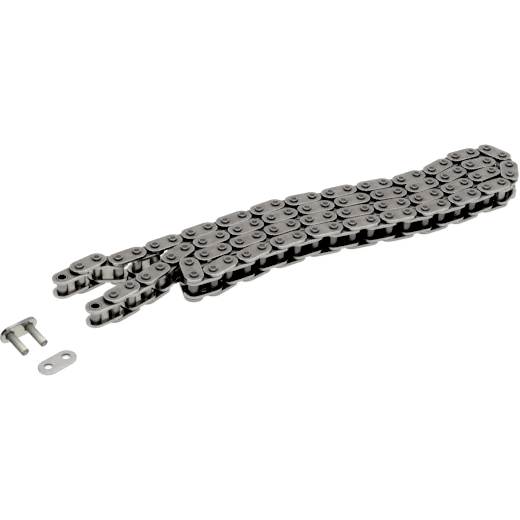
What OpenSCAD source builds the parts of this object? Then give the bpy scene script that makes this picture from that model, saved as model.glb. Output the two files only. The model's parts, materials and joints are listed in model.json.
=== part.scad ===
// Cam chain: a bush timing chain, open at both ends and laid in four nested rows,
// with its joining link and cover plate lying loose beside it.
// It stands on its pin ends at z = 0, and its rows run along X.

/* [Chain] */
// Distance between the centres of two pins
pitch = 6.35; // [6:0.05:7.5]
// Clear width between the two inner plates of a link
inner_w = 3.8; // [2.5:0.05:5]

/* [Plates] */
// Thickness of every link plate
plate_t = 1; // [0.7:0.05:1.4]
// Gap between the ends of two plates that follow each other on one level
end_gap = 0.5; // [0.46:0.02:1]
// Bevel on the edge of a plate
plate_bevel = 0.1; // [0.02:0.02:0.2]

/* [Pins] */
// Diameter of a pin
pin_d = 2.3; // [1.9:0.05:2.5]
// Length of the riveted end outside the outer plate
rivet_h = 0.6; // [0.4:0.05:1]
// How far the riveted end swells past the pin, on the radius
rivet_swell = 0.06; // [0.02:0.01:0.15]
// Rounding of the end's outer edge
rivet_bevel = 0.22; // [0.05:0.01:0.25]
// Diameter of the dish pressed into a pin's end
dish_d = 1.6; // [1.2:0.05:1.7]
// Diameter of the dish's flat floor
dish_floor_d = 1.4; // [0.8:0.05:1.5]
// Depth of that dish
dish_depth = 0.15; // [0.05:0.05:0.3]

/* [Bushes] */
// Outer diameter of a bush
bush_d = 3.3; // [3.1:0.05:3.6]
// Bevel at the mouth of its bore
bush_bevel = 0.1; // [0.02:0.02:0.16]
// How far a bush stands out of the inner plates
bush_proud = 0.02; // [0:0.01:0.04]

/* [Joining link] */
// Extra length of the joining link's pins, riveted over once it is fitted
spare_pin = 0.1; // [0:0.05:0.6]

/* [Clearances] */
// Play of a pin in its bush, on the radius
pin_play = 0.06; // [0.02:0.01:0.09]
// Play between an inner plate and the outer plate beside it
side_play = 0.06; // [0.05:0.01:0.2]
// Line between two pieces that are pressed together, on the radius
press_line = 0.01; // [0.01:0.005:0.02]
// Play of the joining link's pins in the cover plate, on the radius
cover_play = 0.06; // [0.02:0.01:0.08]

/* [Loose pieces] */
// Joining link from the last bush of the chain, along the rows
joining_x = -21.4; // [-30:0.1:-18]
// Joining link from the last bush of the chain, across the rows
joining_y = 4.4; // [2:0.1:6]
// Turn of the joining link
joining_turn = 14; // [0:1:30]
// Middle of the cover plate from the last bush, along the rows
cover_x = -16.4; // [-30:0.1:-14]
// Middle of the cover plate from the last bush, across the rows
cover_y = -10.9; // [-16:0.1:-10]
// Turn of the cover plate
cover_turn = 18; // [0:1:30]

/* [Pack] */
// Number of links at the chain's last end that swing freely
free_link_count = 5; // [3:2:5]

/* [Hidden] */
$fn = 48;

// The lie of the chain from its first bush to its last, as [links, heading] runs.
// A heading is in degrees from X, and even links are inner ones.
far_row = [[2, 14], [1, -25], [9, 6], [3, -6], [1, -3], [3, -8], [2, 4], [2, 17], [1, 0], [1, -3]];
outer_fold = [[1, -71], [1, -106], [1, -125], [1, -152]];
front_row = [[1, -177], [2, -173], [2, -178], [1, -186], [2, -187], [3, -187], [1, -178],
    [2, -177], [1, -166], [1, -177], [1, -162], [1, -179]];
left_fold = [[1, 76], [1, 18]];
third_row = [[4, 6], [1, 4], [2, -4], [4, -8], [1, -4], [2, 3], [1, 8], [1, 13], [1, 7]];
inner_fold = [[1, 67]];
second_row = [[1, 174], [2, 194], [2, 184], [1, 179], [2, 170], [1, 176], [3, 174], [1, 183],
    [5, 186], [1, 204], [1, 213], [1, 204], [2, 198], [1, 192]];
runs = concat(far_row, outer_fold, front_row, left_fold, third_row, inner_fold, second_row);
heading = [for (run = runs) for (i = [1:run[0]]) run[1]];
links = len(heading);

function along(turn, reach) = reach * [cos(turn), sin(turn)];
function links_in(list, i = 0) = i == len(list) ? 0 : list[i][0] + links_in(list, i + 1);

// Pin centres in plan. The first and last are the open bushes at the chain's ends.
pins = [for (i = 0, p = [0, 0]; i <= links; p = p + along(heading[min(i, links - 1)], pitch), i = i + 1)
    p];

// The far row, the outer fold and the last few links swing freely. The rest is a held pack.
first_held = links_in(far_row) + links_in(outer_fold);
last_held = links - 1 - free_link_count;
third_start = first_held + links_in(front_row) + links_in(left_fold);
second_start = third_start + links_in(third_row) + links_in(inner_fold);

// Levels above the surface that the pins stand on
lower_outer = rivet_h;
lower_inner = lower_outer + plate_t + side_play;
upper_inner = lower_inner + plate_t + inner_w;
upper_outer = upper_inner + plate_t + side_play;
pin_len = upper_outer + plate_t + rivet_h;

plate_h = pitch - end_gap;
bore_d = pin_d + 2 * pin_play;
outer_hole_d = pin_d + 2 * press_line;
inner_hole_d = bush_d + 2 * press_line;
cover_hole_d = pin_d + 2 * cover_play;
bush_len = 2 * plate_t + inner_w + 2 * bush_proud;

// The joining link leans on the lower edge of its plate and on the tips of its pins
joining_reach = pin_len - plate_t - rivet_h + spare_pin;
lean = atan((plate_h / 2 - pin_d / 2) / (joining_reach - rivet_bevel + plate_bevel));
joining_lift = plate_h / 2 * cos(lean) - plate_bevel * sin(lean);
joining_at = pins[links] + [joining_x, joining_y];
cover_at = pins[links] + [cover_x, cover_y];

// Furthest reach of the joining link from its place, in the plan direction d.
// Each ring is a radius about the two pins' axes and its distance along them.
joining_rings = [
    [plate_h / 2, -plate_bevel], [plate_h / 2, plate_bevel - plate_t],
    [pin_d / 2, joining_reach - rivet_bevel], [pin_d / 2 - rivet_bevel, joining_reach],
    [pin_d / 2 + rivet_swell - rivet_bevel, -plate_t - rivet_h]
];
function joining_far(d) =
    let(length_part = d * along(joining_turn, 1), side_part = d * along(joining_turn - 90, 1))
    abs(length_part) * pitch / 2 + max([for (ring = joining_rings)
        ring[0] * norm([length_part, side_part * sin(lean)]) + ring[1] * side_part * cos(lean)]);
function cover_far(d) = abs(d * along(cover_turn, 1)) * pitch / 2 + plate_h / 2;
function far(d) = max(max([for (p = pins) d * p]) + plate_h / 2,
    d * joining_at + joining_far(d), d * cover_at + cover_far(d));

// The origin is on the ground, in the middle of the whole lay-out
middle = [far([1, 0]) - far([-1, 0]), far([0, 1]) - far([0, -1])] / 2;

function two_digits(n) = str(n < 10 ? "0" : "", n);
function link_name(i) =
    str(i % 2 == 0 ? "inner_link_" : "outer_link_", two_digits(floor((i + 1) / 2) + (i + 1) % 2));
free_links = concat([for (i = [0:first_held - 1]) i], [for (i = [last_held + 1:links - 1]) i]);

// Rows of the pack, each with the links that lie in it
held_rows = [
    ["front_row", first_held, first_held + links_in(front_row) - 1],
    ["left_fold", first_held + links_in(front_row), third_start - 1],
    ["third_row", third_start, third_start + links_in(third_row) - 1],
    ["inner_fold", third_start + links_in(third_row), second_start - 1],
    ["second_row", second_start, last_held]
];

function row_pieces(row) = row[1] == row[2]
    ? ["inner_plates", "bushes"]
    : ["outer_plates", "pins", "inner_plates", "bushes"];

function backwards(list) = [for (i = [len(list) - 1:-1:0]) list[i]];

// Bevelled edge of a plate's cross-section, to one side of its middle line
function plate_edge(side) = [
    [side * (plate_h / 2 - plate_bevel), 0], [side * plate_h / 2, plate_bevel],
    [side * plate_h / 2, plate_t - plate_bevel], [side * (plate_h / 2 - plate_bevel), plate_t]
];

// Link plate lying on z = 0, from a first hole at the origin to a second along X
module plate(hole_d) {
    difference() {
        union() {
            for (x = [0, pitch]) translate([x, 0, 0]) rotate_extrude()
                polygon(concat([[0, 0]], plate_edge(1), [[0, plate_t]]));
            rotate([90, 0, 90]) linear_extrude(pitch)
                polygon(concat(plate_edge(1), backwards(plate_edge(-1))));
        }
        for (x = [0, pitch]) translate([x, 0, -plate_t]) cylinder(d = hole_d, h = 3 * plate_t);
    }
}

// Half of a pin's outline at a riveted end, from the dish to the plate that it holds
function rivet_outline(z, up) = [
    [0, z + up * dish_depth], [dish_floor_d / 2, z + up * dish_depth], [dish_d / 2, z],
    [pin_d / 2 + rivet_swell - rivet_bevel, z], [pin_d / 2 + rivet_swell, z + up * rivet_bevel],
    [pin_d / 2 + rivet_swell, z + up * (rivet_h - press_line)],
    [pin_d / 2, z + up * (rivet_h - press_line)]
];

// Half of a pin's outline at the plain end of a joining link's pin
function plain_outline(z, up) = [
    [0, z + up * dish_depth], [dish_floor_d / 2, z + up * dish_depth], [dish_d / 2, z],
    [pin_d / 2 - rivet_bevel, z], [pin_d / 2, z + up * rivet_bevel]
];

// Pin riveted at both ends
module pin() {
    rotate_extrude() polygon(concat(rivet_outline(0, 1), backwards(rivet_outline(pin_len, -1))));
}

// Bush standing on z = 0, with a bevel at each mouth of its bore
module bush() {
    rotate_extrude() polygon([
        [bore_d / 2 + bush_bevel, 0], [bush_d / 2, 0], [bush_d / 2, bush_len],
        [bore_d / 2 + bush_bevel, bush_len], [bore_d / 2, bush_len - bush_bevel], [bore_d / 2, bush_bevel]
    ]);
}

// Puts its children at the first pin of link i, turned along the link
module at_link(i) {
    translate(pins[i] - middle) rotate(heading[i]) children();
}

module outer_plates(i) {
    color("#8f8a84") at_link(i) for (z = [lower_outer, upper_outer])
        translate([0, 0, z]) plate(outer_hole_d);
}

module inner_plates(i) {
    color("#a7a39c") at_link(i) for (z = [lower_inner, upper_inner])
        translate([0, 0, z]) plate(inner_hole_d);
}

module link_pins(i) {
    color("#b8ad9c") at_link(i) for (x = [0, pitch]) translate([x, 0, 0]) pin();
}

module link_bushes(i) {
    color("#c4c2bd") at_link(i) for (x = [0, pitch])
        translate([x, 0, lower_inner - bush_proud]) bush();
}

// Outer link: two plates riveted on two pins
module outer_link(i) {
    outer_plates(i);
    link_pins(i);
}

// Inner link: two plates pressed on two bushes
module inner_link(i) {
    inner_plates(i);
    link_bushes(i);
}

module free_link(i) {
    if (i % 2 == 0) inner_link(i);
    else outer_link(i);
}

// One kind of piece in a row of the pack
module row_piece(row, piece) {
    for (i = [row[1]:row[2]]) {
        if (i % 2 == 1 && piece == "outer_plates") outer_plates(i);
        if (i % 2 == 1 && piece == "pins") link_pins(i);
        if (i % 2 == 0 && piece == "inner_plates") inner_plates(i);
        if (i % 2 == 0 && piece == "bushes") link_bushes(i);
    }
}

// Frame of the joining link: X along its plate, Z along its pins, z = 0 on the plate's inner face
module at_joining_link() {
    translate(concat(joining_at - middle, joining_lift)) rotate([90 + lean, 0, joining_turn])
        translate([-pitch / 2, 0, 0]) children();
}

module joining_plate() {
    color("#a9a49c") at_joining_link() translate([0, 0, -plate_t]) plate(outer_hole_d);
}

module joining_pins() {
    color("#c8bfae") at_joining_link() for (x = [0, pitch]) translate([x, 0, -plate_t - rivet_h])
        rotate_extrude() polygon(concat(
            rivet_outline(0, 1),
            backwards(plain_outline(plate_t + rivet_h + joining_reach, -1))
        ));
}

// Cover plate, flat on the ground
module cover_plate() {
    color("#b3b0aa") translate(cover_at - middle) rotate(cover_turn) translate([-pitch / 2, 0, 0])
        plate(cover_hole_d);
}

for (i = free_links) free_link(i);
for (row = held_rows) for (piece = row_pieces(row))
    row_piece(row, piece);
joining_plate();
joining_pins();
cover_plate();
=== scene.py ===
import json
import math

import bmesh
import bpy
import numpy as np
from mathutils import Matrix, Vector


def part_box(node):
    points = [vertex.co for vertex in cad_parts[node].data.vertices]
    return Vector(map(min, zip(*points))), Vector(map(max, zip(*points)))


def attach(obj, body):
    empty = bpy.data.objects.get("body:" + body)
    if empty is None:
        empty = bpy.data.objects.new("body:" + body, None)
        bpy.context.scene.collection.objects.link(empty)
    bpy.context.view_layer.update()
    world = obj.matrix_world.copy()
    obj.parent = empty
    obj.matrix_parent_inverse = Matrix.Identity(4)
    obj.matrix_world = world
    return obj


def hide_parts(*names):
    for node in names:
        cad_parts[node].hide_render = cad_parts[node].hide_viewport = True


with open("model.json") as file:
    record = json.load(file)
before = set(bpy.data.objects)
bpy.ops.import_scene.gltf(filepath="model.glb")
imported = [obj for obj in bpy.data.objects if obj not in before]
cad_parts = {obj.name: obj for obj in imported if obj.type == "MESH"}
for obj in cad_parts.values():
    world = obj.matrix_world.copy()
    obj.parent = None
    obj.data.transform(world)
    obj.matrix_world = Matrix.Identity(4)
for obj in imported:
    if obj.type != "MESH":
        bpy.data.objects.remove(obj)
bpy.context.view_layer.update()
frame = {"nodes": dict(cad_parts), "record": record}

# Looks of a cam chain laid in nested rows, with its joining link and cover plate beside it.
# Every plate, pin and bush sits where the CAD model has it, and its own sizes are in millimetres.
mm = 0.001
nodes = frame["nodes"]
record = frame["record"]
mounts = {mount["name"]: mount for mount in record["mounts"]}
bodyOf = {name: body for body, names in record["behaviour"]["bodies"].items() for name in names}
scene = bpy.context.scene


def node(tree, kind, **values):
    made = tree.nodes.new(kind)
    for name, value in values.items():
        setattr(made, name, value)
    return made


def feed(tree, value, socket):
    # links a socket, or sets a plain value
    if isinstance(value, bpy.types.NodeSocket):
        tree.links.new(value, socket)
    elif value is not None:
        socket.default_value = value


# Camera, lights and floor, in metres and degrees
studio = {
    "eye": (-0.19403, -0.31833, 0.25149), "heading": 30.20, "elevation": 34.06, "roll": 2.156,
    "lens": 101.19, "sensor": 36.0, "nearest": 0.01, "furthest": 20.0,
    "floor": (0.30, 0.30, 0.30), "floorGlow": 0.96, "floorRough": 0.9, "floorShine": 0.1,
    "floorHalf": 3.0, "room": (0.025, 0.025, 0.025), "backdrop": (0.90, 0.90, 0.90),
    "blackLevel": 0.026,
}
boxes = {  # place, size, and brightness as a mirror in front of the box would show it
    "backBox": ((0.42, 0.73, 0.60), (1.4, 1.3), 0.74),
    "overBox": ((0.06, 0.09, 0.95), (1.0, 0.85), 1.0),
    "frontBox": ((-0.45, -0.75, 0.42), (1.6, 0.6), 0.32),
}
pinBox = {"away": (0.08, -0.27, 0.26), "size": (0.4, 0.4), "bright": 4.2}  # away from the joining pins


def makeCamera():
    data = bpy.data.cameras.new("photoCamera")
    data.lens, data.sensor_width = studio["lens"], studio["sensor"]
    data.clip_start, data.clip_end = studio["nearest"], studio["furthest"]
    camera = bpy.data.objects.new("photoCamera", data)
    scene.collection.objects.link(camera)
    heading, down, roll = (math.radians(studio[name]) for name in ("heading", "elevation", "roll"))
    level = math.cos(down)
    ahead = Vector((math.sin(heading) * level, math.cos(heading) * level, -math.sin(down)))
    right = Vector((math.cos(heading), -math.sin(heading), 0.0))
    up = right.cross(ahead)
    across = math.cos(roll) * right + math.sin(roll) * up
    over = -math.sin(roll) * right + math.cos(roll) * up
    turn = Matrix((across, over, -ahead)).transposed().to_4x4()
    camera.matrix_world = Matrix.Translation(studio["eye"]) @ turn
    scene.camera = camera


def softbox(name, place, size, bright, target=(0, 0, 0)):
    data = bpy.data.lights.new(name, "AREA")
    data.shape, data.size, data.size_y = "RECTANGLE", size[0], size[1]
    data.energy = bright * math.pi * size[0] * size[1]
    lamp = bpy.data.objects.new(name, data)
    scene.collection.objects.link(lamp)
    aim = (Vector(target) - Vector(place)).to_track_quat("-Z", "Y").to_matrix().to_4x4()
    lamp.matrix_world = Matrix.Translation(place) @ aim
    return lamp


def lightJoiningPins():
    # in the photograph these two pins are evenly pale above and dark below, so they have a light
    # of their own, and none from behind or from the floor
    pins = bpy.data.objects["joining_link_pins"]
    lit, unlit = bpy.data.collections.new("sideLit"), bpy.data.collections.new("notBackLit")
    for group in (lit, unlit):
        group.objects.link(pins)
    middle = Vector(mounts["joining_pin_ends"]["pos_m"])
    place = middle + Vector(pinBox["away"])
    side = softbox("sideBox", place, pinBox["size"], pinBox["bright"], middle)
    side.light_linking.receiver_collection = lit
    unlit.collection_objects[0].light_linking.link_state = "EXCLUDE"
    for name in ("studioFloor", "backBox"):
        bpy.data.objects[name].light_linking.receiver_collection = unlit


def makeFloor():
    mesh = bpy.data.meshes.new("studioFloor")
    half = studio["floorHalf"]
    corners = [(-half, -half, 0), (half, -half, 0), (half, half, 0), (-half, half, 0)]
    mesh.from_pydata(corners, [], [(0, 1, 2, 3)])
    floor = bpy.data.objects.new("studioFloor", mesh)
    scene.collection.objects.link(floor)
    finish = bpy.data.materials.new("paleFloor")
    finish.use_nodes = True
    shader = finish.node_tree.nodes["Principled BSDF"]
    for name, value in (("Base Color", (*studio["floor"], 1)), ("Roughness", studio["floorRough"]),
                        ("Specular IOR Level", studio["floorShine"]),
                        ("Emission Color", (1, 1, 1, 1)), ("Emission Strength", studio["floorGlow"])):
        shader.inputs[name].default_value = value
    mesh.materials.append(finish)


def makeStudio():
    makeFloor()
    world = bpy.data.worlds.new("softRoom")
    world.use_nodes = True
    tree = world.node_tree
    mix = node(tree, "ShaderNodeMix", data_type="RGBA")  # pale to look at, dark where steel mirrors it
    feed(tree, node(tree, "ShaderNodeLightPath").outputs["Is Camera Ray"], mix.inputs[0])
    feed(tree, (*studio["room"], 1), mix.inputs[6])
    feed(tree, (*studio["backdrop"], 1), mix.inputs[7])
    feed(tree, mix.outputs[2], tree.nodes["Background"].inputs["Color"])
    scene.world = world
    for name, (place, size, bright) in boxes.items():
        softbox(name, place, size, bright)
    view = scene.view_settings
    view.view_transform, view.use_curve_mapping = "Standard", True
    view.curve_mapping.black_level = (studio["blackLevel"],) * 3  # the photograph's shadows are cut off
    view.curve_mapping.update()


makeCamera()
makeStudio()
print("camera, lights and floor made")


# Where the CAD has each piece
looseNodes = ("joining_plate", "joining_pins", "cover_plate")
kindLimits = {"plate": 2.0, "bush": 7.0}  # the chain's plates, bushes and pins differ in height


def solidsOf(name):
    # the corner points of each separate solid in a CAD node
    bm = bmesh.new()
    bm.from_mesh(nodes[name].data)
    bmesh.ops.remove_doubles(bm, verts=bm.verts, dist=0.001 * mm)
    seen, solids = set(), []
    for first in bm.verts:
        if first in seen:
            continue
        seen.add(first)
        waiting, corners = [first], []
        while waiting:
            corner = waiting.pop()
            corners.append(corner.co.to_tuple())
            for edge in corner.link_edges:
                other = edge.other_vert(corner)
                if other not in seen:
                    seen.add(other)
                    waiting.append(other)
        solids.append(np.array(corners))
    bm.free()
    return solids


def middleOf(corners, turn):
    # middle of a solid's box, with the box turned as the solid is
    along = corners @ np.array(turn)
    return turn @ Vector((along.min(0) + along.max(0)) / 2)


def readChain():
    # kind, node and middle of each solid of the chain, each kind's height, and the plan centre of
    # each pin and bush
    found, tallOf, axles = [], {}, []
    for name in sorted(nodes):
        if name in looseNodes:
            continue
        for corners in solidsOf(name):
            low, high = corners.min(0), corners.max(0)
            middle, tall = (low + high) / 2, (high[2] - low[2]) / mm
            if tall < kindLimits["plate"]:
                kind = "outerPlate" if "outer" in name else "innerPlate"
            else:
                kind = "bush" if tall < kindLimits["bush"] else "pin"
                axles.append(middle[:2])
            found.append((kind, name, middle))
            tallOf[kind] = tall
    return found, tallOf, np.array(axles)


def headingOf(middle, axles):
    # a plate points along the line between the two axles nearest its middle
    gaps = np.hypot(*(axles - middle[:2]).T)
    first = axles[gaps.argmin()]
    apart = np.hypot(*(axles - first).T) > 1 * mm  # a pin and its bush share one place
    way = axles[np.where(apart, gaps, np.inf).argmin()] - first
    way = -way if way[0] < 0 else way
    return math.atan2(way[1], way[0])


def joiningTurn():
    # the joining link leans on its plate's edge, so its turn comes from its axis and its two pins
    axis = Vector(mounts["joining_pin_ends"]["axis"]).normalized()
    pins = [Vector((corners.min(0) + corners.max(0)) / 2) for corners in solidsOf("joining_pins")]
    along = (pins[1] - pins[0]).normalized()
    return Matrix((along, axis.cross(along), axis)).transposed()


chain, tallOf, axles = readChain()
joiningLie = joiningTurn()
heights = solidsOf("joining_pins")[0] @ np.array(joiningLie)[:, 2]
tallOf["joiningPin"] = float(heights.max() - heights.min()) / mm
print("CAD solids read:", len(chain))
print("heights in mm:", {kind: round(tall, 3) for kind, tall in tallOf.items()})


# Finishes
def calc(tree, what, first, second=None, clamp=False):
    made = node(tree, "ShaderNodeMath", operation=what, use_clamp=clamp)
    feed(tree, first, made.inputs[0])
    feed(tree, second, made.inputs[1])
    return made.outputs[0]


def noise(tree, place, seed, scale, detail, rough=0.5):
    made = node(tree, "ShaderNodeTexNoise", noise_dimensions="4D")
    for name, value in (("Vector", place), ("W", seed), ("Scale", scale), ("Detail", detail),
                        ("Roughness", rough)):
        feed(tree, value, made.inputs[name])
    return made.outputs[0]


def ramp(tree, value, low, high, start=0.0, end=1.0):
    made = node(tree, "ShaderNodeMapRange", clamp=True)
    for slot, number in enumerate((value, low, high, start, end)):
        feed(tree, number, made.inputs[slot])
    return made.outputs[0]


def splitAxes(tree, vector):
    made = node(tree, "ShaderNodeSeparateXYZ")
    feed(tree, vector, made.inputs[0])
    return made.outputs


def newGroup(name, inputs, outputs):
    # a shader group's tree, the sockets that its inputs come from, and those its outputs go to
    tree = bpy.data.node_groups.new(name, "ShaderNodeTree")
    for title, kind in inputs:
        tree.interface.new_socket(title, in_out="INPUT", socket_type=kind)
    for title in outputs:
        tree.interface.new_socket(title, in_out="OUTPUT", socket_type="NodeSocketFloat")
    return tree, node(tree, "NodeGroupInput").outputs, node(tree, "NodeGroupOutput").inputs


grainSizes = {
    "seedStep": 37.0, "cloud": 0.38, "streak": 3.5, "pit": 0.5, "pitEdge": (0.10, 0.32),
    "patch": 1.3, "patchEdge": (0.50, 0.62), "streakHeight": 0.6, "pitDepth": 0.8,
}


def makeSteelGrain():
    # tumbled steel: cloudy stain, fine streaks that run as the steel was worked, and small pits
    tree, came, gone = newGroup(
        "steelGrain",
        (("Place", "NodeSocketVector"), ("Seed", "NodeSocketFloat"), ("Squeeze", "NodeSocketVector"),
         ("Pit Size", "NodeSocketFloat")),
        ("Cloud", "Streak", "Pit", "Height"))
    size = grainSizes
    seed = calc(tree, "MULTIPLY", came["Seed"], size["seedStep"])
    cloud = noise(tree, came["Place"], seed, size["cloud"], detail=2.0)
    squeezed = node(tree, "ShaderNodeVectorMath", operation="MULTIPLY")
    feed(tree, came["Place"], squeezed.inputs[0])
    feed(tree, came["Squeeze"], squeezed.inputs[1])
    streak = noise(tree, squeezed.outputs[0], seed, size["streak"], detail=2.0)
    cells = node(tree, "ShaderNodeTexVoronoi")
    feed(tree, came["Place"], cells.inputs["Vector"])
    feed(tree, calc(tree, "DIVIDE", size["pit"], came["Pit Size"]), cells.inputs["Scale"])
    pit = ramp(tree, cells.outputs["Distance"], *size["pitEdge"], 1.0, 0.0)
    patch = noise(tree, came["Place"], seed, size["patch"], detail=1.0)  # pits lie in patches
    pit = calc(tree, "MULTIPLY", pit, ramp(tree, patch, *size["patchEdge"]))
    height = calc(tree, "SUBTRACT", calc(tree, "MULTIPLY", streak, size["streakHeight"]),
                  calc(tree, "MULTIPLY", pit, size["pitDepth"]))
    for name, value in (("Cloud", cloud), ("Streak", streak), ("Pit", pit), ("Height", height)):
        feed(tree, value, gone[name])
    return tree


def makeRivetShadeAndGrime():
    # how near a point of a plate is to the foot of a rivet, from 0 to 1
    # the dark ring that this masks is partly dirt and partly painted contact shade
    tree, came, gone = newGroup(
        "rivetShadeAndGrime",
        (("Place", "NodeSocketVector"), ("Half Pitch", "NodeSocketFloat"),
         ("Rivet", "NodeSocketFloat"), ("Reach", "NodeSocketFloat")),
        ("ShadeAndGrime",))
    place = splitAxes(tree, came["Place"])
    along = calc(tree, "SUBTRACT", calc(tree, "ABSOLUTE", place["X"]), came["Half Pitch"])
    square = calc(tree, "ADD", calc(tree, "MULTIPLY", along, along),
                  calc(tree, "MULTIPLY", place["Y"], place["Y"]))
    gap = calc(tree, "SUBTRACT", calc(tree, "SQRT", square), came["Rivet"])
    share = calc(tree, "DIVIDE", gap, came["Reach"])
    feed(tree, ramp(tree, share, 0.0, 1.0, 1.0, 0.0), gone["ShadeAndGrime"])
    return tree


steelGrain, rivetShadeAndGrime = makeSteelGrain(), makeRivetShadeAndGrime()

markRanges = {  # where each mark begins and is full: noise, height in mm, or a normal's height
    "stain": (0.38, 0.62), "streak": (0.58, 0.80), "wall": (0.25, 0.75), "wearAndHighlight": (0.30, 0.60),
    "inside": (0.02, 0.05), "under": (-0.5, -0.9), "shadeAndGrime": (0.0, 0.7), "nookShade": (0.46, 0.96),
}
glossRanges = {"streak": (0.25, 0.75), "streakAdds": (-0.06, 0.08), "cloud": (0.3, 0.7),
               "cloudAdds": (-0.03, 0.05), "edge": 0.04}


def makeSteel(name, look):
    # one steel finish; look holds its colours, its roughness and how much of each mark it shows
    finish = bpy.data.materials.new(name)
    finish.use_nodes = True
    tree = finish.node_tree
    shader = tree.nodes["Principled BSDF"]
    own, edge, wall, tone = (
        node(tree, "ShaderNodeAttribute", attribute_name=mark).outputs[out]
        for mark, out in (("own", "Vector"), ("edge", "Fac"), ("wall", "Fac"), ("tone", "Fac")))
    grain = node(tree, "ShaderNodeGroup", node_tree=steelGrain)
    for slot, value in (("Place", own), ("Seed", tone), ("Squeeze", look["squeeze"]),
                        ("Pit Size", look["pitSize"])):
        feed(tree, value, grain.inputs[slot])
    cloud, streak, pit = (grain.outputs[mark] for mark in ("Cloud", "Streak", "Pit"))
    height = splitAxes(tree, own)["Z"]

    def times(first, second):
        return calc(tree, "MULTIPLY", first, second)

    def mark(value, which, start=0.0, end=1.0):
        return ramp(tree, value, *markRanges[which], start, end)

    def inside(start, end):
        # start on the face that looks at the bushes, and end above it
        return mark(height, "inside", start, end)

    def paint(below, above, amount):
        mix = node(tree, "ShaderNodeMix", data_type="RGBA")
        feed(tree, amount, mix.inputs[0])
        for slot, value in ((6, below), (7, above)):
            feed(tree, (*value, 1) if isinstance(value, tuple) else value, mix.inputs[slot])
        return mix.outputs[2]

    spread = look["toneSpread"]
    clouded = calc(tree, "ADD", mark(cloud, "stain", 0.0, 1.0 - spread), times(tone, spread), clamp=True)
    colour = paint(look["light"], look["stain"], clouded)
    colour = paint(colour, look["dark"], times(pit, look["pits"]))
    colour = paint(colour, look["dark"], mark(streak, "streak", 0.0, look["streaks"]))
    shader.inputs["Metallic"].default_value = look["metal"]
    if look["inner"]:
        # the inner face and the sheared wall mirror more than the top, and faces that look down on the
        # bushes are painted darker as shade
        bare = calc(tree, "MAXIMUM", inside(1.0, look["metal"]), wall)
        feed(tree, bare, shader.inputs["Metallic"])
        colour = paint(colour, look["inner"], inside(look["innerShare"], 0.0))
        facing = splitAxes(tree, node(tree, "ShaderNodeTexCoord").outputs["Normal"])
        under = times(mark(facing["Z"], "under"), inside(1.0, 0.0))
        colour = paint(colour, look["dark"], times(under, look["undersideShade"]))
    side = times(wall, mark(cloud, "wall", look["wallLow"], look["wallHigh"]))
    colour = paint(colour, look["side"], side)
    # rolled edges, rivet domes and bush ends take the edge colour where the streaks allow; where it is
    # bright it is partly wear and partly a painted highlight
    wornAndHighlit = times(edge, mark(streak, "wearAndHighlight", look["edgeLow"], 1.0))
    colour = paint(colour, look["bright"], wornAndHighlit)
    # a dark ring round each rivet's foot, partly dirt and partly painted contact shade
    if look["rivet"]:
        shadeAndGrime = node(tree, "ShaderNodeGroup", node_tree=rivetShadeAndGrime)
        reach = inside(look["innerReach"], look["shadeAndGrimeReach"])
        for slot, value in (("Place", own), ("Half Pitch", look["halfPitch"]),
                            ("Rivet", look["rivet"]), ("Reach", reach)):
            feed(tree, value, shadeAndGrime.inputs[slot])
        shadeAndDirt = times(mark(shadeAndGrime.outputs[0], "shadeAndGrime"), look["shadeAndGrime"])
        shadeAndDirt = times(shadeAndDirt, ramp(tree, height, look["shadeAndGrimeFrom"], look["shadeAndGrimeFrom"] + look["shadeAndGrimeFade"]))
        if look["nookShade"]:  # painted shade: darker where pieces meet, as ambient occlusion finds it
            nookShade = node(tree, "ShaderNodeAmbientOcclusion", samples=8)
            nookShade.inputs["Distance"].default_value = look["nookShadeReach"] * mm
            occlusionShade = times(mark(nookShade.outputs["AO"], "nookShade", look["nookShade"], 0.0),
                            inside(look["innerNookShade"], 1.0))
            shadeAndDirt = calc(tree, "MAXIMUM", shadeAndDirt, occlusionShade)
        colour = paint(colour, look["shadeAndDirt"], shadeAndDirt)
    feed(tree, colour, shader.inputs["Base Color"])
    low, high = (look["rough"] + step for step in glossRanges["streakAdds"])
    rough = calc(tree, "ADD", ramp(tree, streak, *glossRanges["streak"], low, high),
                 ramp(tree, cloud, *glossRanges["cloud"], *glossRanges["cloudAdds"]))
    rough = calc(tree, "SUBTRACT", rough, times(edge, glossRanges["edge"]))
    rough = calc(tree, "MULTIPLY", rough, inside(look["innerRough"], 1.0), clamp=True)
    feed(tree, rough, shader.inputs["Roughness"])
    bump = node(tree, "ShaderNodeBump")
    bump.inputs["Strength"].default_value = look["bump"]
    bump.inputs["Distance"].default_value = look["bumpDepth"] * mm
    feed(tree, grain.outputs["Height"], bump.inputs["Height"])
    feed(tree, bump.outputs["Normal"], shader.inputs["Normal"])
    return finish


outerLook = {
    "light": (0.59, 0.56, 0.53), "stain": (0.40, 0.362, 0.342), "inner": (0.62, 0.61, 0.575),
    "dark": (0.15, 0.135, 0.12), "bright": (0.96, 0.945, 0.92), "side": (0.40, 0.39, 0.375),
    "shadeAndDirt": (0.03, 0.028, 0.025), "innerShare": 0.8, "wallLow": 0.35, "wallHigh": 0.85,
    "edgeLow": 0.65, "rough": 0.19, "innerRough": 0.4, "metal": 0.55,
    "squeeze": (0.11, 1.0, 1.0), "pitSize": 0.10, "pits": 0.15, "streaks": 0.15,
    "toneSpread": 0.3, "bump": 0.06, "bumpDepth": 0.02,
    "halfPitch": 3.175, "rivet": 1.15, "shadeAndGrime": 0.9, "shadeAndGrimeReach": 0.45, "innerReach": 0.3,
    "shadeAndGrimeFrom": -1.0, "shadeAndGrimeFade": 0.2, "nookShade": 0.95, "innerNookShade": 0.6, "nookShadeReach": 1.8,
    "undersideShade": 0.9,
}
innerLook = dict(
    outerLook, light=(0.59, 0.565, 0.54), stain=(0.43, 0.40, 0.375), rivet=1.65, shadeAndGrimeReach=0.22,
    innerReach=0.15)
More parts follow.
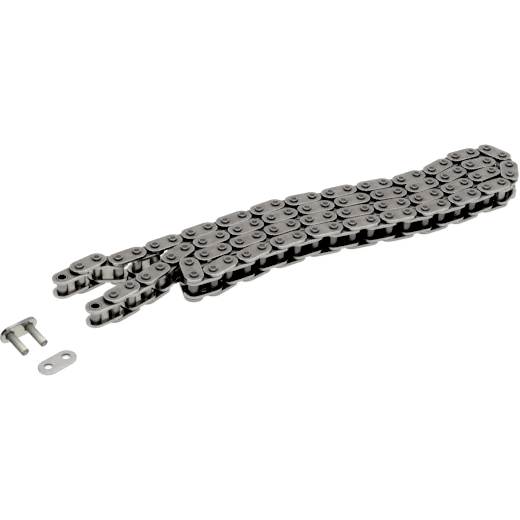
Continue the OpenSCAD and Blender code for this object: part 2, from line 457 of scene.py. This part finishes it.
pinLook = dict(
    outerLook, light=(0.20, 0.185, 0.172), stain=(0.12, 0.109, 0.10), inner=None,
    dark=(0.07, 0.055, 0.045), bright=(0.80, 0.78, 0.75), side=(0.16, 0.145, 0.13), rough=0.26,
    innerRough=1.0, squeeze=(0.6, 0.6, 3.0), pitSize=0.08, pits=0.3, rivet=0)
# the bush's near-black side colour lies on its bore: painted shade in the hole
bushLook = dict(
    outerLook, light=(0.42, 0.413, 0.393), stain=(0.27, 0.264, 0.25), inner=None,
    dark=(0.20, 0.19, 0.185), side=(0.02, 0.019, 0.018), wallLow=0.9, wallHigh=1.0, rough=0.20,
    metal=0.72, innerRough=1.0, squeeze=(0.6, 0.6, 3.0), pitSize=0.09, pits=0.2,
    toneSpread=0.25, rivet=0)
shadedPackBushLook = dict(  # painted shade: a darker copy for the bushes between the rows
    bushLook, light=(0.24, 0.233, 0.222), stain=(0.16, 0.155, 0.147))
# on the joining plate the ring round the pins' feet is a painted dark reflection of the pins, and the
# dark edge colour paints its rims darker
joiningLook = dict(
    outerLook, light=(0.56, 0.56, 0.49), stain=(0.50, 0.50, 0.43), inner=None,
    side=(0.42, 0.39, 0.42), wallLow=1.0, wallHigh=1.0, bright=(0.30, 0.29, 0.29), rough=0.08,
    innerRough=1.0, pits=0.1, streaks=0.1, shadeAndGrime=0.98, shadeAndGrimeReach=0.6, bump=0.03, metal=0.8, nookShade=0)
# on the cover plate the same ring paints shade inside the upper part of its holes
coverLook = dict(
    joiningLook, light=(0.86, 0.84, 0.81), stain=(0.77, 0.75, 0.72), side=(0.62, 0.61, 0.59),
    bright=(0.80, 0.78, 0.75), rough=0.36, metal=0.6, rivet=1.21, shadeAndGrime=0.95, shadeAndGrimeReach=0.05,
    shadeAndGrimeFrom=0.45)
# the joining pins' near-black side colour paints each plain tip's dish and rounded edge as shade, and
# makes the shank darker towards its riveted end
joiningPinLook = dict(
    pinLook, light=(0.80, 0.78, 0.69), stain=(0.74, 0.71, 0.62), side=(0.07, 0.065, 0.065),
    bright=(0.80, 0.78, 0.72), rough=0.50, metal=0.2, pits=0.0, streaks=0.05, wallLow=1.0,
    wallHigh=1.0)

finishes = {
    "outerPlate": makeSteel("outerPlateSteel", outerLook),
    "innerPlate": makeSteel("innerPlateSteel", innerLook),
    "pin": makeSteel("pinSteel", pinLook),
    "bush": makeSteel("bushSteel", bushLook),
    "packBush": makeSteel("shadedPackBushSteel", shadedPackBushLook),
    "joiningPlate": makeSteel("joiningPlateSteel", joiningLook),
    "coverPlate": makeSteel("coverPlateSteel", coverLook),
    "joiningPin": makeSteel("joiningPinSteel", joiningPinLook),
}
print("finishes made:", len(finishes))


# Base shapes, each with its own coordinates in millimetres and marks for its edges and walls
def newShape():
    bm = bmesh.new()
    layers = bm.verts.layers
    return bm, layers.float_vector.new("own"), layers.float.new("edge"), layers.float.new("wall")


def addRing(work, points, z, edgeMark=0.0, wallMark=0.0):
    bm, own, edge, wall = work
    ring = []
    for x, y in points:
        corner = bm.verts.new((x * mm, y * mm, z * mm))
        corner[own] = (x, y, z)
        corner[edge], corner[wall] = edgeMark, wallMark
        ring.append(corner)
    return ring


def joinRings(bm, first, second):
    for i in range(len(first)):
        j = (i + 1) % len(first)
        bm.faces.new((first[i], first[j], second[j], second[i]))


def edgesOf(bm, ring):
    return [bm.edges.get((ring[i - 1], ring[i])) for i in range(len(ring))]


def sharpen(bm, ring):
    for edge in edgesOf(bm, ring):
        edge.smooth = False


def finishShape(name, bm):
    bmesh.ops.recalc_face_normals(bm, faces=bm.faces)
    for face in bm.faces:
        face.smooth = True
    mesh = bpy.data.meshes.new(name)
    bm.to_mesh(mesh)
    bm.free()
    shape = bpy.data.objects.new(name, mesh)
    scene.collection.objects.link(shape)
    return shape


def circle(radius, steps, centre=0.0):
    angles = [2 * math.pi * i / steps for i in range(steps)]
    return [(centre + radius * math.cos(a), radius * math.sin(a)) for a in angles]


plateSizes = {
    "pitch": 6.35, "height": 5.85, "thick": tallOf["outerPlate"], "roll": 0.32, "drop": 0.09,
    "rollSteps": 3, "fade": 0.04, "sheared": 0.10, "endSteps": 10, "holeSteps": 16,
    "holes": {"outerPlate": 1.16, "innerPlate": 1.66, "joiningPlate": 1.16, "coverPlate": 1.21},
}


def makePlate(name, hole):
    # link plate lying on z = 0, centred between its holes; both faces roll over to a sheared wall
    size = plateSizes
    half, radius, thick = size["pitch"] / 2, size["height"] / 2, size["thick"]
    work = newShape()
    bm = work[0]

    def outline(shrink):
        points = []
        for centre, start in ((half, -90), (-half, 90)):
            for i in range(size["endSteps"] + 1):
                a = math.radians(start + 180 * i / size["endSteps"])
                points.append((centre + (radius - shrink) * math.cos(a),
                               (radius - shrink) * math.sin(a)))
        return points

    # shrink, height, edge mark and wall mark, up from the lower face
    steps = [i / size["rollSteps"] for i in range(size["rollSteps"] + 1)]
    low = [(size["roll"] * (1 - t), size["drop"] * t * t, t ** 0.7, 0.0) for t in steps]
    low += [(0.0, size["drop"] + size["fade"], 0.3, 0.7),
            (0.0, size["drop"] + size["sheared"], 0.0, 1.0)]
    levels = low + [(shrink, thick - z, mark, side) for shrink, z, mark, side in low[::-1]]
    rings = [addRing(work, outline(shrink), z, mark, side) for shrink, z, mark, side in levels]
    for first, second in zip(rings, rings[1:]):
        joinRings(bm, first, second)
    for corner in (rings[size["rollSteps"]], rings[-1 - size["rollSteps"]]):
        sharpen(bm, corner)
    bores = []
    for centre in (-half, half):
        points = circle(hole, size["holeSteps"], centre)
        bore = [addRing(work, points, z) for z in (0.0, thick)]
        joinRings(bm, *bore)
        bores.append(bore)
    for side in (0, 1):
        loops = [rings[-side], bores[0][side], bores[1][side]]
        edges = [edge for loop in loops for edge in edgesOf(bm, loop)]
        bmesh.ops.triangle_fill(bm, use_beauty=True, edges=edges)
        for bore in bores:
            sharpen(bm, bore[side])
    return finishShape(name, bm)


def makeTurned(name, profile, steps, closed):
    # turned piece from (radius, height, edge mark, wall mark, sharp) points; it ends on its axis
    # or is a tube
    work = newShape()
    bm = work[0]
    rings = []
    for radius, z, edgeMark, wallMark, sharp in profile:
        points = circle(radius, steps) if radius else [(0.0, 0.0)]
        rings.append(addRing(work, points, z, edgeMark, wallMark))
    pairs = list(zip(rings, rings[1:])) + ([(rings[-1], rings[0])] if closed else [])
    for first, second in pairs:
        if len(first) == 1 or len(second) == 1:
            tip, ring = (first[0], second) if len(first) == 1 else (second[0], first)
            for i in range(steps):
                bm.faces.new((tip, ring[i - 1], ring[i]))
        else:
            joinRings(bm, first, second)
    for ring, row in zip(rings, profile):
        if row[4]:
            sharpen(bm, ring)
    return finishShape(name, bm)


pinSizes = {
    "radius": 1.15, "rivet": 0.6, "swell": 0.20, "dish": 0.93, "floor": 0.80, "depth": 0.15,
    "steps": 24,
}


def rivetEnd(size):
    # radius, height, edge mark, wall mark and sharp, from the middle of the dish out over the spun
    # dome and down to the plate; heights run inward from the tip
    rim = size["radius"] + size["swell"]
    return [
        (0.0, size["depth"], 0.0, 0.0, False),
        (size["floor"] - 0.08, size["depth"], 0.0, 0.0, False),
        (size["floor"], size["depth"] - 0.03, 0.0, 0.3, False),
        (size["dish"] - 0.02, 0.02, 0.4, 0.0, False),
        (size["dish"] + 0.03, 0.0, 1.0, 0.0, False),
        (rim - 0.26, 0.04, 1.0, 0.0, False),
        (rim - 0.12, 0.12, 1.0, 0.0, False),
        (rim - 0.04, 0.22, 0.9, 0.0, True),
        (rim, 0.32, 0.0, 1.0, False),
        (rim, size["rivet"] - 0.10, 0.0, 1.0, False),
        (size["radius"], size["rivet"] - 0.01, 0.0, 1.0, True),
    ]


def plainEnd(size):
    # the same for a tip that isn't riveted: a dish and a rounded edge
    # the wall marks paint the dish and the rounded edge with the darker side colour, as painted shade
    return [
        (0.0, size["depth"], 0.0, 0.2, False),
        (size["floor"], size["depth"], 0.0, 0.7, False),
        (size["dish"] - 0.03, 0.04, 0.0, 0.9, False),
        (size["dish"] + 0.03, 0.0, 0.6, 0.0, False),
        (size["radius"] - 0.16, 0.0, 0.3, 0.3, False),
        (size["radius"] - 0.05, 0.05, 0.0, 1.0, False),
        (size["radius"], 0.17, 0.0, 0.8, False),
        (size["radius"], 0.30, 0.0, 0.0, False),
    ]


def makePin(name, length, endOf):
    # riveted at its low end, and riveted or plain at its upper end
    low, high = rivetEnd(pinSizes), endOf(pinSizes)
    high = [(radius, length - z, *marks) for radius, z, *marks in high]
    return makeTurned(name, low + high[::-1], pinSizes["steps"], False)


bushSizes = {
    "outside": 1.65, "bore": 1.21, "length": tallOf["bush"], "bevel": 0.1, "rim": 0.04,
    "rimTall": 0.05, "steps": 28,
}


def makeBush(name):
    size = bushSizes
    tall, outside, bore, bevel = size["length"], size["outside"], size["bore"], size["bevel"]
    rim, rimTall = size["rim"], size["rimTall"]
    return makeTurned(name, [
        (bore + bevel, 0.0, 0.6, 0.0, True), (outside - rim, 0.0, 0.6, 0.0, False),
        (outside, rimTall, 0.0, 0.0, True), (outside, tall - rimTall, 0.0, 0.0, True),
        (outside - rim, tall, 0.6, 0.0, False), (bore + bevel, tall, 0.6, 0.0, True),
        (bore, tall - bevel, 0.0, 1.0, True), (bore, bevel, 0.0, 1.0, True),
    ], size["steps"], True)


shapes = {kind: makePlate(kind + "Shape", hole) for kind, hole in plateSizes["holes"].items()}
shapes["pin"] = makePin("pinShape", tallOf["pin"], rivetEnd)
shapes["joiningPin"] = makePin("joiningPinShape", tallOf["joiningPin"], plainEnd)
shapes["bush"] = makeBush("bushShape")
print("base shapes:", {name: len(shape.data.polygons) for name, shape in shapes.items()})


# Geometry Nodes put the base shapes on the CAD's places
def makeChainTree():
    tree = bpy.data.node_groups.new("chainPieces", "GeometryNodeTree")
    tree.is_modifier = True
    for name, kind in (("Places", "Geometry"), ("Shape", "Object"), ("Finish", "Material"),
                       ("Turn Spread", "Float"), ("Size", "Float"), ("Seed", "Int")):
        tree.interface.new_socket(name, in_out="INPUT", socket_type="NodeSocket" + kind)
    tree.interface.new_socket("Pieces", in_out="OUTPUT", socket_type="NodeSocketGeometry")
    came, gone = node(tree, "NodeGroupInput").outputs, node(tree, "NodeGroupOutput").inputs
    lie = node(tree, "GeometryNodeInputNamedAttribute", data_type="FLOAT_VECTOR")
    lie.inputs["Name"].default_value = "lie"
    rest = node(tree, "FunctionNodeEulerToRotation")
    feed(tree, lie.outputs["Attribute"], rest.inputs[0])
    spin = node(tree, "FunctionNodeRandomValue", data_type="FLOAT")
    feed(tree, came["Turn Spread"], spin.inputs[3])
    feed(tree, came["Seed"], spin.inputs["Seed"])
    about = node(tree, "FunctionNodeAxisAngleToRotation")
    about.inputs["Axis"].default_value = (0, 0, 1)
    feed(tree, spin.outputs[1], about.inputs["Angle"])
    turned = node(tree, "FunctionNodeRotateRotation", rotation_space="LOCAL")
    feed(tree, rest.outputs[0], turned.inputs[0])
    feed(tree, about.outputs[0], turned.inputs[1])
    shape = node(tree, "GeometryNodeObjectInfo")
    feed(tree, came["Shape"], shape.inputs["Object"])
    put = node(tree, "GeometryNodeInstanceOnPoints")
    feed(tree, came["Places"], put.inputs["Points"])
    feed(tree, shape.outputs["Geometry"], put.inputs["Instance"])
    feed(tree, turned.outputs[0], put.inputs["Rotation"])
    feed(tree, came["Size"], put.inputs["Scale"])
    tone = node(tree, "FunctionNodeRandomValue", data_type="FLOAT")
    feed(tree, came["Seed"], tone.inputs["Seed"])
    keep = node(tree, "GeometryNodeStoreNamedAttribute", data_type="FLOAT", domain="INSTANCE")
    keep.inputs["Name"].default_value = "tone"
    feed(tree, put.outputs[0], keep.inputs["Geometry"])
    feed(tree, tone.outputs[1], keep.inputs["Value"])
    real = node(tree, "GeometryNodeRealizeInstances")
    feed(tree, keep.outputs[0], real.inputs[0])
    dress = node(tree, "GeometryNodeSetMaterial")
    feed(tree, real.outputs[0], dress.inputs["Geometry"])
    feed(tree, came["Finish"], dress.inputs["Material"])
    feed(tree, dress.outputs[0], gone[0])
    return tree


chainPieces = makeChainTree()
turnedKinds = ("pin", "bush", "joiningPin")  # these are turned about their axes at random


def placePieces(name, kind, look, places, body, replaced, seed):
    # places holds (point, Euler turn) rows; the result is one plain mesh
    mesh = bpy.data.meshes.new(name)
    mesh.from_pydata([tuple(point) for point, turn in places], [], [])
    lie = mesh.attributes.new("lie", "FLOAT_VECTOR", "POINT")
    lie.data.foreach_set("vector", [value for point, turn in places for value in turn])
    piece = bpy.data.objects.new(name, mesh)
    scene.collection.objects.link(piece)
    modifier = piece.modifiers.new("chainPieces", "NODES")
    modifier.node_group = chainPieces
    values = {"Shape": shapes[kind], "Finish": finishes[look], "Size": 1.0, "Seed": seed,
              "Turn Spread": 2 * math.pi if kind in turnedKinds else 0.0}
    for item in chainPieces.interface.items_tree:
        if item.in_out == "INPUT" and item.name in values:
            modifier[item.identifier] = values[item.name]
    graph = bpy.context.evaluated_depsgraph_get()
    solid = bpy.data.meshes.new_from_object(
        piece.evaluated_get(graph), preserve_all_data_layers=True, depsgraph=graph)
    piece.modifiers.remove(modifier)
    solid.attributes.remove(solid.attributes["lie"])
    piece.data = solid
    solid.name = name
    bpy.data.meshes.remove(mesh)
    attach(piece, body)
    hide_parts(*replaced)


plural = {"outerPlate": "plates", "innerPlate": "plates", "pin": "pins", "bush": "bushes"}
packNames = {"outerPlate": "pack_outer_plates", "innerPlate": "pack_inner_plates",
             "pin": "pack_pins", "bush": "pack_bushes"}
looseSeeds = {"joining_link_plate": 101, "joining_link_pins": 102, "cover_link_plate": 103}


def placeChain():
    # a lower plate is turned over, so that the z = 0 face of every plate looks at the bushes
    groups = {}
    halfway = tallOf["pin"] * mm / 2
    for kind, name, middle in chain:
        heading = headingOf(middle, axles) if "Plate" in kind else 0.0
        over = "Plate" in kind and middle[2] < halfway
        point = Vector(middle) - Vector((0, 0, tallOf[kind] * mm / (-2 if over else 2)))
        places, names = groups.setdefault((bodyOf[name], kind), ([], set()))
        places.append((point, (math.pi if over else 0.0, 0.0, heading)))
        names.add(name)
    for seed, ((body, kind), (places, names)) in enumerate(sorted(groups.items())):
        name, look = f"{body}_{plural[kind]}", kind
        if body == "folded_pack":
            name, look = packNames[kind], "packBush" if kind == "bush" else kind
        placePieces(name, kind, look, places, body, sorted(names), seed)
    print("chain pieces placed:", len(groups))


def placeLoose():
    axis, turn = joiningLie.col[2], tuple(joiningLie.to_euler())
    for name, source, kind, tall in (
            ("joining_link_plate", "joining_plate", "joiningPlate", tallOf["innerPlate"]),
            ("joining_link_pins", "joining_pins", "joiningPin", tallOf["joiningPin"])):
        places = [(middleOf(corners, joiningLie) - axis * (tall * mm / 2), turn)
                  for corners in solidsOf(source)]
        placePieces(name, kind, kind, places, bodyOf[source], [source], looseSeeds[name])
    left, right = (Vector(mounts[name]["pos_m"]) for name in ("cover_hole_left", "cover_hole_right"))
    way, spot = right - left, (left + right) / 2
    spot.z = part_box("cover_plate")[0].z
    places = [(spot, (0.0, 0.0, math.atan2(way.y, way.x)))]
    placePieces("cover_link_plate", "coverPlate", "coverPlate", places, bodyOf["cover_plate"],
                ["cover_plate"], looseSeeds["cover_link_plate"])
    print("loose pieces placed")


placeChain()
placeLoose()
lightJoiningPins()
for shape in shapes.values():
    bpy.data.objects.remove(shape)
